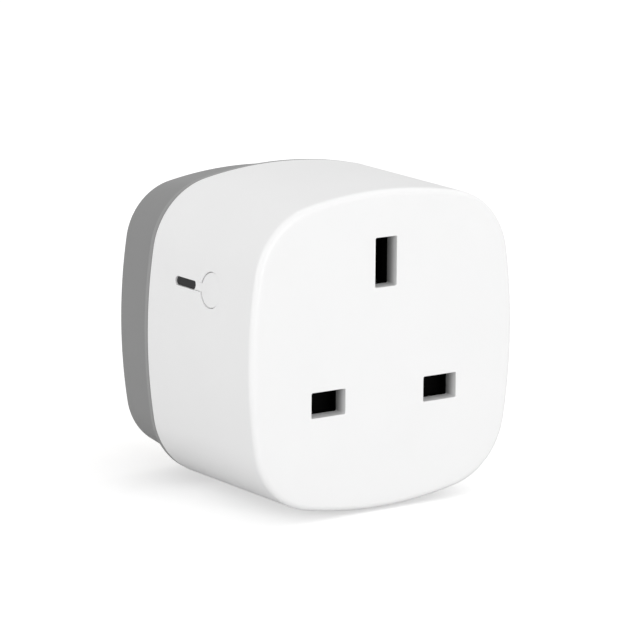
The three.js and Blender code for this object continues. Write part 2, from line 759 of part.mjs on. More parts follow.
// A round capacitor can with a crimp near its foot.
function canCapacitor({ place: [x, z], radius, tall }) {
  const profile = [
    [0, 0],
    [radius - 0.3, 0],
    [radius, 0.3],
    [radius, 1.2],
    [radius - 0.35, 1.5],
    [radius, 1.8],
    [radius, tall - 0.4],
    [radius - 0.4, tall],
    [0, tall],
  ].map(([r, h]) => new THREE.Vector2(r, h));
  return solidOf(new THREE.LatheGeometry(profile, 24).rotateX(Math.PI).translate(x, onBoard, z));
}

// A disc that stands on edge.
function discVaristor({ place: [x, z], radius, thickness }) {
  const body = new THREE.CylinderGeometry(radius, radius, thickness, 24).rotateX(Math.PI / 2);
  return solidOf(body.translate(x, onBoard - radius - 0.6, z));
}

function shuntStrip() {
  const line = [
    [-5, onBoard - 0.35],
    [-3, onBoard - 0.35],
    [-2.2, onBoard - 2],
    [2.2, onBoard - 2],
    [3, onBoard - 0.35],
    [5, onBoard - 0.35],
  ];
  return extrudeZ(stripShape(line, 0.5), 3.2, 5.8);
}

// A chip with legs along two edges.
function chip({ place: [x, z], width, height, legs }) {
  const body = bar(x, z, width, height, onBoard - 1.6, onBoard - 0.15);
  const pitch = width / legs;
  const feet = Array.from({ length: legs }, (_, i) =>
    bar(x + (i - (legs - 1) / 2) * pitch, z, pitch * 0.4, height + 2, onBoard - 0.5, onBoard),
  );
  return join(body, ...feet);
}

// A screw about its own axis: six-lobed recess in a pan head, and a plain shank.
function screw() {
  const headTop = -headRecess;
  const neck = headTop - screwHeadDepth;
  const profile = [
    [0, neck - screwLength],
    [0.35, neck - screwLength + 0.1],
    [screwShank, neck - screwLength + 1.6],
    [screwShank, neck + fit],
    [screwHead, neck + fit],
    [screwHead, headTop - 0.7],
    [screwHead - 0.5, headTop],
    [0, headTop],
  ].map(([r, y]) => new THREE.Vector2(r, y));
  const lobes = Array.from({ length: 6 }, (_, i) => {
    const angle = (i * Math.PI) / 3;
    return rodY(0.78 * Math.cos(angle), 0.78 * Math.sin(angle), 0.32, headTop - 0.9, 1, 10);
  });
  const recess = join(rodY(0, 0, 0.82, headTop - 0.9, 1, 18), ...lobes);
  return cut(solidOf(new THREE.LatheGeometry(profile, 24)), recess);
}

// ---------- finishes ----------

const finish = (color, roughness, metalness = 0) =>
  new THREE.MeshStandardMaterial({ color, roughness, metalness });
const white = finish(0xf2f2f2, 0.5);
const grey = finish(0x8c8c8c, 0.45);
const black = finish(0x141414, 0.6);
const smoked = finish(0x202020, 0.2);
const clear = finish(0xdfe6ea, 0.15);
const brass = finish(0xc9a45c, 0.3, 1);
const nickel = finish(0xc8c6c0, 0.25, 1);
const steel = finish(0xa9abad, 0.35, 1);
const board = finish(0x1f5a34, 0.5);
const epoxy = finish(0x1b1b1d, 0.5);
const ferrite = finish(0x3a3a3c, 0.7);
const yellow = finish(0xd9b23a, 0.5);
const blue = finish(0x2d5fa8, 0.45);
const sleeveGrey = finish(0x2a2a2c, 0.5);
const labelSilver = finish(0xc4c6c8, 0.4);

// ---------- the assembly ----------

const group = new THREE.Group();

function add(name, solid, material, x = 0, y = 0, z = 0) {
  const mesh = new THREE.Mesh(geometryOf(solid), material);
  mesh.name = name;
  mesh.position.set(x, y, z);
  group.add(mesh);
}

add("front_cover", frontCover(), white);
add("rear_base", rearBase(), grey);
bosses.forEach(([x, z], i) => add(`case_screw_${i + 1}`, screw(), steel, x, 0, z));
add("rating_label", ratingLabel(), labelSilver);

add("live_pin", sleevedPin(), brass, flatX, 0, flatHeight);
add("neutral_pin", sleevedPin(), brass, -flatX, 0, flatHeight);
add("earth_pin", pin(earthPin), brass, 0, 0, earthHeight);
add("live_pin_sleeve", pinSleeve(), sleeveGrey, flatX, 0, flatHeight);
add("neutral_pin_sleeve", pinSleeve(), sleeveGrey, -flatX, 0, flatHeight);

add("shutter_guide", shutterGuide(), black);
add("shutter", shutter(), black);
add("shutter_spring", shutterSpring(), steel, 0, springY, springSeat + fit + springWire);
add("contact_block", contactBlock(), black);
add("live_contact", flatContact(), nickel, flatX, 0, flatHeight);
add("neutral_contact", flatContact(), nickel, -flatX, 0, flatHeight);
add("earth_contact", earthContact(), nickel, 0, 0, earthHeight);

add("button_cap", buttonCap(), white);
add("indicator_window", indicatorWindow(), smoked);
add("light_guide", lightGuide(), clear);
add("switch_body", switchBody(), epoxy);
add("switch_plunger", switchPlunger(), white);
add("status_led", statusLed(), clear);

add("main_board", mainBoard(), board);
add("control_board", controlCard(), board);
add("radio_shield", shieldCan(), nickel);
add("control_header", controlHeader(), epoxy);

const relayParts = relay();
add("relay_base", relayParts.foot, epoxy);
add("relay_case", relayParts.shell, blue);
const coilParts = transformer();
add("transformer_bobbin", coilParts.bobbin, epoxy);
add("transformer_winding", coilParts.winding, yellow);
add("transformer_core", coilParts.core, ferrite);
add("filter_capacitor", standing(filterBox), yellow);
add("bulk_capacitor", canCapacitor(bulkCan), epoxy);
add("smoothing_capacitor", canCapacitor(smoothingCan), epoxy);
add("varistor", discVaristor(disc), blue);
add("fusible_resistor", rodY(...fuseBody.place, fuseBody.radius, onBoard - fuseBody.tall, onBoard), ferrite);
add("bridge_rectifier", standing(bridge), epoxy);
add("current_shunt", shuntStrip(), nickel);
add("metering_chip", chip(meterChip), epoxy);
add("supply_chip", chip(supplyChip), epoxy);

export default group;
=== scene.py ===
import math

import bmesh
import bpy
from mathutils import Matrix, Vector


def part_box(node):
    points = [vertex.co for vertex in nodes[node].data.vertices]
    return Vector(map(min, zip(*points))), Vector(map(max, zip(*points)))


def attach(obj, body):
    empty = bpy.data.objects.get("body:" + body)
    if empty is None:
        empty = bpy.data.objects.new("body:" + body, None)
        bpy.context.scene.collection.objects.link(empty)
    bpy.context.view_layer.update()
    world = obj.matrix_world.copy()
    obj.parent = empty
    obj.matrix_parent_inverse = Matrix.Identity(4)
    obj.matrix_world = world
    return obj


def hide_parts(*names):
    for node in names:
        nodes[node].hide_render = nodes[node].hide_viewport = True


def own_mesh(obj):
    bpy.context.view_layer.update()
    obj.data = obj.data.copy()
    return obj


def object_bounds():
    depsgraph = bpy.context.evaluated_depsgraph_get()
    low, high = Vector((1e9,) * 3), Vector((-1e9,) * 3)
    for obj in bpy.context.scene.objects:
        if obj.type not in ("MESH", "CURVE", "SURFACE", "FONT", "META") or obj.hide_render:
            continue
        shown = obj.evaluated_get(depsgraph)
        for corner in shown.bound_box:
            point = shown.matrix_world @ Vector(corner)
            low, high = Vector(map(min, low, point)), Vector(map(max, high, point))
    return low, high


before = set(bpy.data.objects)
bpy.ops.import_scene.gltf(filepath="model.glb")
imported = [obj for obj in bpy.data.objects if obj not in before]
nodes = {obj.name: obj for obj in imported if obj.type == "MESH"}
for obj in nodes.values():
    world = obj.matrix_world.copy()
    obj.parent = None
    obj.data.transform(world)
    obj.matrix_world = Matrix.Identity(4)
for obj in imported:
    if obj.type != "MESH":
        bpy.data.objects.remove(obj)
cadBox = [list(corner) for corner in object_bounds()]
millimetre = 0.001  # the meshes are drawn in millimetres and scaled at the end
weldGap = 1e-5  # vertices nearer than this are one, in the same millimetres


def nodeBox(name):
    low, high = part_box(name)
    return low / millimetre, high / millimetre


# drawing closed outlines

def traceLine(bm, start, moves, y):
    # a move is a point (x, z) to go straight to, or (x, z, angle, steps) to swing round a centre
    tip = bm.verts.new((start[0], y, start[1]))
    for move in moves:
        if len(move) == 2:
            point = bm.verts.new((move[0], y, move[1]))
            bm.edges.new((tip, point))
            tip = point
        else:
            x, z, angle, steps = move
            swung = bmesh.ops.spin(bm, geom=[tip], cent=(x, y, z), axis=(0, -1, 0), angle=angle, steps=steps)
            tip = swung["geom_last"][0]


def closedLoop(bm, start, moves, y, mirrors="XZ", shift=(0, 0, 0)):
    oldVerts, oldEdges = set(bm.verts), set(bm.edges)
    traceLine(bm, start, moves, y)
    for axis in mirrors:
        part = [v for v in bm.verts if v not in oldVerts] + [e for e in bm.edges if e not in oldEdges]
        bmesh.ops.mirror(bm, geom=part, axis=axis, merge_dist=10 * weldGap)
    bmesh.ops.translate(bm, verts=[v for v in bm.verts if v not in oldVerts], vec=shift)
    return [e for e in bm.edges if e not in oldEdges]


def loft(bm, loops):
    for one, other in zip(loops, loops[1:]):
        bmesh.ops.bridge_loops(bm, edges=one + other)
    for end in (loops[0], loops[-1]):
        bmesh.ops.contextual_create(bm, geom=end)


def arcOf(across, along, radius, fromAngle, toAngle, steps):
    angles = [math.radians(fromAngle + (toAngle - fromAngle) * i / steps) for i in range(steps + 1)]
    return [(across + radius * math.cos(a), along + radius * math.sin(a)) for a in angles]


# finishing a mesh

def toObject(bm, name):
    bmesh.ops.remove_doubles(bm, verts=bm.verts, dist=weldGap)
    bmesh.ops.recalc_face_normals(bm, faces=bm.faces)
    bmesh.ops.scale(bm, vec=(millimetre,) * 3, verts=bm.verts)
    mesh = bpy.data.meshes.new(name)
    bm.to_mesh(mesh)
    bm.free()
    piece = bpy.data.objects.new(name, mesh)
    bpy.context.scene.collection.objects.link(piece)
    return piece


def carve(piece, *tools):
    # each tool is (operation, object); the tools are used up
    for operation, tool in tools:
        step = piece.modifiers.new("carve", "BOOLEAN")
        step.operation = operation
        step.solver = "EXACT"
        step.object = tool
    graph = bpy.context.evaluated_depsgraph_get()
    carved = bpy.data.meshes.new_from_object(piece.evaluated_get(graph))
    piece.modifiers.clear()
    plain, piece.data = piece.data, carved
    bpy.data.meshes.remove(plain)
    for _, tool in tools:
        bpy.data.meshes.remove(tool.data)


def dress(piece, body, material, replaced, rounding=0.0, sharpness=32):
    mesh = piece.data
    mesh.materials.clear()
    mesh.materials.append(material)
    for face in mesh.polygons:
        face.use_smooth = True
    if rounding:
        soften = piece.modifiers.new("soften", "BEVEL")
        soften.width = rounding * millimetre
        soften.segments = 3
        soften.limit_method = "ANGLE"
        soften.angle_limit = math.radians(sharpness)
        soften.use_clamp_overlap = True
        soften.harden_normals = False
    else:
        mesh.set_sharp_from_angle(angle=math.radians(sharpness))
    weigh = piece.modifiers.new("weigh", "WEIGHTED_NORMAL")
    weigh.keep_sharp = True
    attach(piece, body)
    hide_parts(*replaced)
    return piece


# materials

def newGroup(name, inputs, outputs):
    group = bpy.data.node_groups.new(name, "ShaderNodeTree")
    for label, kind, value in inputs:
        socket = group.interface.new_socket(name=label, in_out="INPUT", socket_type=kind)
        socket.default_value = value
    for label, kind in outputs:
        group.interface.new_socket(name=label, in_out="OUTPUT", socket_type=kind)
    return group, group.nodes.new("NodeGroupInput"), group.nodes.new("NodeGroupOutput")


def mixColour(tree, factor, one, other, blend="MIX"):
    mix = tree.nodes.new("ShaderNodeMix")
    mix.data_type = "RGBA"
    mix.blend_type = blend
    for socket, value in ((mix.inputs["Factor"], factor), (mix.inputs[6], one), (mix.inputs[7], other)):
        if isinstance(value, bpy.types.NodeSocket):
            tree.links.new(value, socket)
        else:
            socket.default_value = value
    return mix.outputs[2]


def maths(tree, operation, *values):
    node = tree.nodes.new("ShaderNodeMath")
    node.operation = operation
    for socket, value in zip(node.inputs, values):
        if isinstance(value, bpy.types.NodeSocket):
            tree.links.new(value, socket)
        else:
            socket.default_value = value
    return node.outputs[0]


def noiseOf(tree, coords, scale, detail=3.0):
    noise = tree.nodes.new("ShaderNodeTexNoise")
    noise.inputs["Detail"].default_value = detail
    tree.links.new(coords, noise.inputs["Vector"])
    if isinstance(scale, bpy.types.NodeSocket):
        tree.links.new(scale, noise.inputs["Scale"])
    else:
        noise.inputs["Scale"].default_value = scale
    return noise.outputs["Fac"]


bumpHeight = 0.02 * millimetre  # of a bump at full strength
mouldShape = {"slowScale": 90.0, "slowDetail": 4.0, "grainDetail": 2.0, "glossSwing": 0.16}
drawnShape = {"stretch": (1.0, 0.04, 1.0), "lineScale": 4200.0, "lineDetail": 2.0,
              "patchScale": 260.0, "patchDetail": 5.0, "patchTop": 0.1, "dulling": 0.22}


def makeMouldGrain():
    # the fine spark-eroded grain of a moulded skin, with a slow change of gloss across it
    group, given, out = newGroup(
        "mouldGrain",
        [("Colour", "NodeSocketColor", (0.8, 0.8, 0.8, 1)), ("Roughness", "NodeSocketFloat", 0.5),
         ("Grain Scale", "NodeSocketFloat", 5200.0), ("Grain Depth", "NodeSocketFloat", 0.05),
         ("Mottle", "NodeSocketFloat", 0.03)],
        [("Colour", "NodeSocketColor"), ("Roughness", "NodeSocketFloat"), ("Normal", "NodeSocketVector")])
    coords = group.nodes.new("ShaderNodeTexCoord").outputs["Object"]
    grain = noiseOf(group, coords, given.outputs["Grain Scale"], mouldShape["grainDetail"])
    slow = noiseOf(group, coords, mouldShape["slowScale"], mouldShape["slowDetail"])
    bump = group.nodes.new("ShaderNodeBump")
    bump.inputs["Distance"].default_value = bumpHeight
    group.links.new(given.outputs["Grain Depth"], bump.inputs["Strength"])
    group.links.new(grain, bump.inputs["Height"])
    centred = maths(group, "SUBTRACT", slow, 0.5)
    rough = maths(group, "MULTIPLY_ADD", centred, mouldShape["glossSwing"], given.outputs["Roughness"])
    swing = maths(group, "MULTIPLY", centred, given.outputs["Mottle"])
    shade = maths(group, "MULTIPLY_ADD", swing, 2.0, 1.0)
    grey = group.nodes.new("ShaderNodeCombineColor")
    for channel in grey.inputs:
        if channel.name in ("Red", "Green", "Blue"):
            group.links.new(shade, channel)
    tinted = mixColour(group, 1.0, given.outputs["Colour"], grey.outputs[0], "MULTIPLY")
    group.links.new(tinted, out.inputs["Colour"])
    group.links.new(rough, out.inputs["Roughness"])
    group.links.new(bump.outputs["Normal"], out.inputs["Normal"])
    return group


def makeDrawnMetal():
    # faint drawing lines along the pins, and handling marks that dull the shine in patches
    group, given, out = newGroup(
        "drawnMetal",
        [("Colour", "NodeSocketColor", (0.8, 0.7, 0.4, 1)),
         ("Tarnish", "NodeSocketColor", (0.4, 0.3, 0.15, 1)),
         ("Roughness", "NodeSocketFloat", 0.25), ("Lines", "NodeSocketFloat", 0.2),
         ("Tarnish Amount", "NodeSocketFloat", 0.3)],
        [("Colour", "NodeSocketColor"), ("Roughness", "NodeSocketFloat"), ("Normal", "NodeSocketVector")])
    coords = group.nodes.new("ShaderNodeTexCoord").outputs["Object"]
    stretch = group.nodes.new("ShaderNodeMapping")
    stretch.inputs["Scale"].default_value = drawnShape["stretch"]
    group.links.new(coords, stretch.inputs["Vector"])
    lines = noiseOf(group, stretch.outputs["Vector"], drawnShape["lineScale"], drawnShape["lineDetail"])
    patches = noiseOf(group, coords, drawnShape["patchScale"], drawnShape["patchDetail"])
    bump = group.nodes.new("ShaderNodeBump")
    bump.inputs["Distance"].default_value = bumpHeight
    group.links.new(given.outputs["Lines"], bump.inputs["Strength"])
    group.links.new(lines, bump.inputs["Height"])
    worn = maths(group, "SMOOTH_MIN", patches, 1.0, drawnShape["patchTop"])
    dull = maths(group, "MULTIPLY", worn, given.outputs["Tarnish Amount"])
    colour = mixColour(group, dull, given.outputs["Colour"], given.outputs["Tarnish"])
    rough = maths(group, "MULTIPLY_ADD", patches, drawnShape["dulling"], given.outputs["Roughness"])
    group.links.new(colour, out.inputs["Colour"])
    group.links.new(rough, out.inputs["Roughness"])
    group.links.new(bump.outputs["Normal"], out.inputs["Normal"])
    return group


mouldGrain = makeMouldGrain()
drawnMetal = makeDrawnMetal()


def newMaterial(name, group, values, **shader):
    material = bpy.data.materials.new(name)
    material.use_nodes = True
    tree = material.node_tree
    surface = tree.nodes["Principled BSDF"]
    effect = tree.nodes.new("ShaderNodeGroup")
    effect.node_tree = group
    for label, value in values.items():
        effect.inputs[label].default_value = value
    tree.links.new(effect.outputs["Colour"], surface.inputs["Base Color"])
    tree.links.new(effect.outputs["Roughness"], surface.inputs["Roughness"])
    tree.links.new(effect.outputs["Normal"], surface.inputs["Normal"])
    for label, value in shader.items():
        surface.inputs[label].default_value = value
    return material


def plastic(name, colour, roughness, scale=5200.0, depth=0.35, mottle=0.012, **shader):
    values = {"Colour": (*colour, 1), "Roughness": roughness, "Grain Scale": scale,
              "Grain Depth": depth, "Mottle": mottle}
    return newMaterial(name, mouldGrain, values, **shader)


def metal(name, colour, tarnish, roughness, lines=0.3, amount=0.3):
    values = {"Colour": (*colour, 1), "Tarnish": (*tarnish, 1), "Roughness": roughness,
              "Lines": lines, "Tarnish Amount": amount}
    return newMaterial(name, drawnMetal, values, Metallic=1.0)


def placeOf(tree):
    coords = tree.nodes.new("ShaderNodeTexCoord").outputs["Object"]
    split = tree.nodes.new("ShaderNodeSeparateXYZ")
    tree.links.new(coords, split.inputs[0])
    return split.outputs["X"], split.outputs["Y"], split.outputs["Z"]


def rampOf(tree, value, start, end):
    # 0 at start, 1 at end, in millimetres
    ramp = tree.nodes.new("ShaderNodeMapRange")
    ramp.interpolation_type = "SMOOTHSTEP"
    ramp.inputs["From Min"].default_value = start * millimetre
    ramp.inputs["From Max"].default_value = end * millimetre
    tree.links.new(value, ramp.inputs["Value"])
    return ramp.outputs["Result"]


def overlay(material, mask, colour):
    tree = material.node_tree
    skin = tree.nodes["Principled BSDF"].inputs["Base Color"]
    mixed = mixColour(tree, mask, skin.links[0].from_socket, (*colour, 1))
    tree.links.new(mixed, skin)


whiteSkin = plastic("whiteSkin", (0.86, 0.86, 0.86), 0.42)
coverSkin = plastic("coverSkin", (0.86, 0.86, 0.86), 0.42)  # the same, with painted shade deep in the apertures
greyBase = plastic("greyBase", (0.25, 0.25, 0.25), 0.46, depth=0.45)
blackNylon = plastic("blackNylon", (0.0015, 0.0015, 0.0015), 0.75, **{"Specular IOR Level": 0.04})
sleeveBlack = plastic("sleeveBlack", (0.018, 0.018, 0.02), 0.38)
smokedLens = plastic("smokedLens", (0.009, 0.009, 0.01), 0.3, depth=0.05, **{"Specular IOR Level": 0.38})
clearGuide = plastic("clearGuide", (0.7, 0.74, 0.76), 0.12, depth=0.05)
blackEpoxy = plastic("blackEpoxy", (0.02, 0.02, 0.022), 0.45, scale=2600.0, depth=0.6)
boardGreen = plastic("boardGreen", (0.015, 0.11, 0.045), 0.3, mottle=0.1)
relayBlue = plastic("relayBlue", (0.025, 0.11, 0.36), 0.35)
windingTape = plastic("windingTape", (0.78, 0.52, 0.05), 0.4, mottle=0.06)
ferriteGrey = plastic("ferriteGrey", (0.04, 0.04, 0.043), 0.62, scale=1800.0, depth=0.9)
labelSilver = plastic("labelSilver", (0.55, 0.56, 0.57), 0.35, depth=0.1)
pinBrass = metal("pinBrass", (0.80, 0.60, 0.30), (0.50, 0.34, 0.15), 0.26, lines=0.4, amount=0.42)
tinPlate = metal("tinPlate", (0.72, 0.71, 0.68), (0.45, 0.44, 0.41), 0.28)
zincSteel = metal("zincSteel", (0.60, 0.61, 0.62), (0.35, 0.35, 0.34), 0.3)

# the colour of the painted shade deep in the aperture walls
paintedApertureShade = {"colour": (0.26, 0.26, 0.26), "fade": 0.1}
# the colour of the painted highlight on the lip beside the seam
lipHighlight = {"colour": (0.3, 0.3, 0.3), "fade": 0.1}
labelBorder = {"colour": (0.03, 0.03, 0.035), "inset": 0.6, "line": 0.18, "fade": 0.05}


def paintApertureShade(start, end, reach):
    # painted shade: the aperture walls are painted darker with depth, standing in for the shade inside them,
    # but hardly the sills
    tree = coverSkin.node_tree
    x, y, z = placeOf(tree)
    farthest = maths(tree, "MAXIMUM", maths(tree, "ABSOLUTE", x), maths(tree, "ABSOLUTE", z))
    middle = rampOf(tree, farthest, reach + paintedApertureShade["fade"], reach)  # keeps off the case's outer walls
    facing = tree.nodes.new("ShaderNodeSeparateXYZ")
    tree.links.new(tree.nodes.new("ShaderNodeTexCoord").outputs["Normal"], facing.inputs[0])
    spared = maths(tree, "SUBTRACT", 1.0, maths(tree, "MAXIMUM", facing.outputs["Z"], 0.0))
    apertureShadeMask = maths(tree, "MULTIPLY", rampOf(tree, y, start, end), middle)
    overlay(coverSkin, maths(tree, "MULTIPLY", apertureShadeMask, spared), paintedApertureShade["colour"])


def paintLipHighlight(end):
    # painted highlight: the proud lip beside the seam is painted a little lighter, for the light it catches
    tree = greyBase.node_tree
    y = placeOf(tree)[1]
    overlay(greyBase, rampOf(tree, y, end + lipHighlight["fade"], end - lipHighlight["fade"]), lipHighlight["colour"])


def borderLabel(low, high):
    # a plain printed border on the blank label
    tree = labelSilver.node_tree
    x, _, z = placeOf(tree)
    inset, line, fade = labelBorder["inset"], labelBorder["line"], labelBorder["fade"]
    edges = []
    for value, near, far in ((x, low.x, high.x), (z, low.z, high.z)):
        offset = maths(tree, "SUBTRACT", value, (near + far) / 2 * millimetre)
        edges.append(maths(tree, "SUBTRACT", maths(tree, "ABSOLUTE", offset), (far - near) / 2 * millimetre))
    outside = maths(tree, "MAXIMUM", *edges)
    inner = rampOf(tree, outside, -inset - line, -inset - line + fade)
    outer = rampOf(tree, outside, -inset, -inset - fade)
    overlay(labelSilver, maths(tree, "MULTIPLY", inner, outer), labelBorder["colour"])


print("materials made")


# the case outline

caseOutline = {
    "halfWidth": 26.55, "halfHeight": 27.0,
    "sideRadius": 92.0, "topRadius": 74.0, "cornerRadius": 13.1,
    "sideSteps": 16, "cornerSteps": 32, "topSteps": 16,
}


def outlineArcs():
    # the corner arc touches the side's arc and the top's arc from inside
    shape = caseOutline
    side = Vector((shape["halfWidth"] - shape["sideRadius"], 0))
    top = Vector((0, shape["halfHeight"] - shape["topRadius"]))
    toSide = shape["sideRadius"] - shape["cornerRadius"]
    toTop = shape["topRadius"] - shape["cornerRadius"]
    apart = (top - side).length
    along = (toSide ** 2 - toTop ** 2 + apart ** 2) / (2 * apart)
    off = math.sqrt(toSide ** 2 - along ** 2)
    way = (top - side).normalized()
    corner = side + way * along + Vector((-way.y, way.x)) * off
    if corner.x < 0 or corner.y < 0:
        corner = side + way * along - Vector((-way.y, way.x)) * off
    return side, top, corner


sideCentre, topCentre, cornerCentre = outlineArcs()
sideAngle = math.atan2(cornerCentre.y, cornerCentre.x - sideCentre.x)
topAngle = math.atan2(cornerCentre.x, cornerCentre.y - topCentre.y)


def caseLoop(bm, inset, y):
    shape = caseOutline
    moves = [
        (sideCentre.x, 0, sideAngle, shape["sideSteps"]),
        (cornerCentre.x, cornerCentre.y, math.pi / 2 - sideAngle - topAngle, shape["cornerSteps"]),
        (0, topCentre.y, topAngle, shape["topSteps"]),
    ]
    return closedLoop(bm, (shape["halfWidth"] - inset, 0), moves, y)


def caseLoft(name, profile):
    bm = bmesh.new()
    loft(bm, [caseLoop(bm, inset, y) for inset, y in profile])
    return toObject(bm, name)


# apertures

apertureShape = {"clearance": 0.13, "corner": 0.25, "flare": 0.14}
pinSections = {"live_pin": (6.35, 3.97), "neutral_pin": (6.35, 3.97), "earth_pin": (3.97, 7.95)}
beyond = 1  # a tool reaches this far past the surface it cuts or joins


def rectLoop(bm, centre, width, height, corner, y, steps=5):
    x, z = width / 2, height / 2
    moves = [(x, z - corner), (x - corner, z - corner, math.pi / 2, steps), (0, z)]
    return closedLoop(bm, (x, 0), moves, y, shift=(centre[0], 0, centre[1]))


def pinCentre(name):
    low, high = nodeBox(name)
    return (low.x + high.x) / 2, (low.z + high.z) / 2


def apertureTool(bm, name, front, back):
    width, height = pinSections[name]
    grown = 2 * apertureShape["clearance"]
    flare = apertureShape["flare"]
    sections = [(flare, front - beyond)] + arcOf(flare, front + flare, flare, 270, 180, 5) + [(0, back)]
    loops = [rectLoop(bm, pinCentre(name), width + grown + 2 * grow, height + grown + 2 * grow,
                      apertureShape["corner"] + grow, y) for grow, y in sections]
    loft(bm, loops)


# the cover

coverShape = {
    "depth": 31.2, "wall": 1.8, "front": 2.8, "draft": 0.45, "fillet": 1.1,
    "rim": 0.2, "seamGap": 0.15, "post": 2.5, "pilot": 1.23, "postEnd": -8.1, "pilotEnd": -16.6,
    "besideArc": 0.6, "ringStep": 7, "shadeStart": 0.2, "shadeReach": 1,
}
frontY = nodeBox("front_cover")[0].y
seamY = frontY + coverShape["depth"]
insideY = frontY + coverShape["front"]
earthTop = pinCentre("earth_pin")[1] + pinSections["earth_pin"][1] / 2
shadeStart = coverShape["shadeStart"]
# paints shade onto the aperture walls, darker further in
paintApertureShade(frontY + shadeStart, insideY + shadeStart, earthTop + coverShape["shadeReach"])


def coverInset(y):
    run = seamY - frontY - coverShape["fillet"]
    return coverShape["draft"] * min((seamY - y) / run, 1)


def wallX(y, z):
    # the left wall's outer surface
    radius = caseOutline["sideRadius"] - coverInset(y)
    return -(sideCentre.x + math.sqrt(radius ** 2 - z ** 2))


def screwCentres():
    boxes = [nodeBox(f"case_screw_{i}") for i in (1, 2, 3, 4)]
    return [((low.x + high.x) / 2, (low.z + high.z) / 2) for low, high in boxes]


def rodTool(bm, x, z, radius, y0, y1, segments=48):
    turn = Matrix.Translation((x, (y0 + y1) / 2, z)) @ Matrix.Rotation(math.pi / 2, 4, "X")
    bmesh.ops.create_cone(bm, cap_ends=True, segments=segments, radius1=radius, radius2=radius,
                          depth=y1 - y0, matrix=turn)


def boxTool(bm, low, high):
    middle = [(a + b) / 2 for a, b in zip(low, high)]
    size = [b - a for a, b in zip(low, high)]
    bmesh.ops.create_cube(bm, size=1, matrix=Matrix.Translation(middle) @ Matrix.Diagonal((*size, 1)))


def coverProfile():
    shape = coverShape
    rim, fillet, beside, step = shape["rim"], shape["fillet"], shape["besideArc"], shape["ringStep"]
    lastY = seamY - shape["seamGap"]
    inner = [(shape["wall"] + shape["draft"], insideY), (shape["wall"], lastY)]
    edge = arcOf(rim, lastY - rim, rim, 90, 180, 4)
    rings = [lastY - rim - beside, lastY - step, lastY - 2 * step, lastY - 3 * step, frontY + fillet + beside]
    wall = [(coverInset(y), y) for y in rings]
    front = arcOf(shape["draft"] + fillet, frontY + fillet, fillet, 180, 270, 9)
    return inner + edge + wall + front + [(shape["draft"] + fillet + 1, frontY)]


# the side controls

keyhole = {
    "disc": 2.85, "discGap": 0.13, "neck": 0.71, "slot": 0.75, "endGap": 0.02,
    "flare": 0.07, "recess": 0.2, "capEdge": 0.08, "lensRecess": 0.3, "lensEdge": 0.08,
    "flange": 0.7, "flangeReach": 0.85, "lensFlange": 0.5, "crown": 0.13, "crownGap": 0.05, "stem": 1.2,
    "slotLength": 5.81, "slotEnd": 0.66, "pad": 1.05, "lensGap": 0.04, "capDepth": 2.0, "lensDepth": 2.1,
    "neckClear": 0.15, "seatRoom": 0.6, "seatSkin": 0.15, "seatEnd": 1.2,
    "discSteps": 60, "endSteps": 10, "hornSteps": 8,
}
capLow, capHigh = nodeBox("button_cap")
lensLow, lensHigh = nodeBox("indicator_window")
discY = capLow.y + keyhole["disc"] + keyhole["flangeReach"]
controlZ = (capLow.z + capHigh.z) / 2
slotBackY = lensHigh.y - keyhole["slotEnd"]
lensEndY = slotBackY - keyhole["slotLength"] + keyhole["slot"]  # middle of the lens's round front end
padX = capHigh.x - keyhole["pad"]  # outer face of the flange behind the wall


def sideLoop(bm, start, moves, depth):
    # drawn flat in (along the wall, up), then laid on the curved wall at a depth below its surface
    edges = closedLoop(bm, start, moves, 0, mirrors="Z")
    for vert in {v for e in edges for v in e.verts}:
        y, z = discY + vert.co.x, controlZ + vert.co.z
        vert.co = (wallX(y, z) + depth, y, z)
    return edges


def keyholeLoop(bm, grow, depth):
    radius = keyhole["disc"] + keyhole["discGap"] + grow
    half = keyhole["slot"] + grow
    swing = math.pi - math.asin(half / radius)
    end = slotBackY - keyhole["slot"] - discY
    moves = [(0, 0, -swing, keyhole["discSteps"]), (end, half), (end, 0, -math.pi / 2, keyhole["endSteps"])]
    return sideLoop(bm, (-radius, 0), moves, depth)


def buttonLoop(bm, grow, depth, endGrow=None):
    # the neck's end is hollow and fits round the lens's front end
    radius = keyhole["disc"] + grow
    half = keyhole["neck"] + grow
    hollow = keyhole["slot"] + keyhole["endGap"] - (grow if endGrow is None else endGrow)
    hollow = max(hollow, half + keyhole["endGap"])
    end = lensEndY - discY
    swing = math.pi - math.asin(half / radius)
    lean = math.asin(half / hollow)
    neckEnd = (end - hollow * math.cos(lean), half)
    moves = [(0, 0, -swing, keyhole["discSteps"]), neckEnd, (end, 0, lean, keyhole["hornSteps"])]
    return sideLoop(bm, (-radius, 0), moves, depth)


def lensLoop(bm, grow, depth):
    gap, steps = keyhole["lensGap"], keyhole["endSteps"]
    half = keyhole["slot"] - gap + grow
    first, last = lensEndY - discY, slotBackY - keyhole["slot"] - gap - discY
    moves = [(first, 0, -math.pi / 2, steps), (last, half), (last, 0, -math.pi / 2, steps)]
    return sideLoop(bm, (first - half, 0), moves, depth)


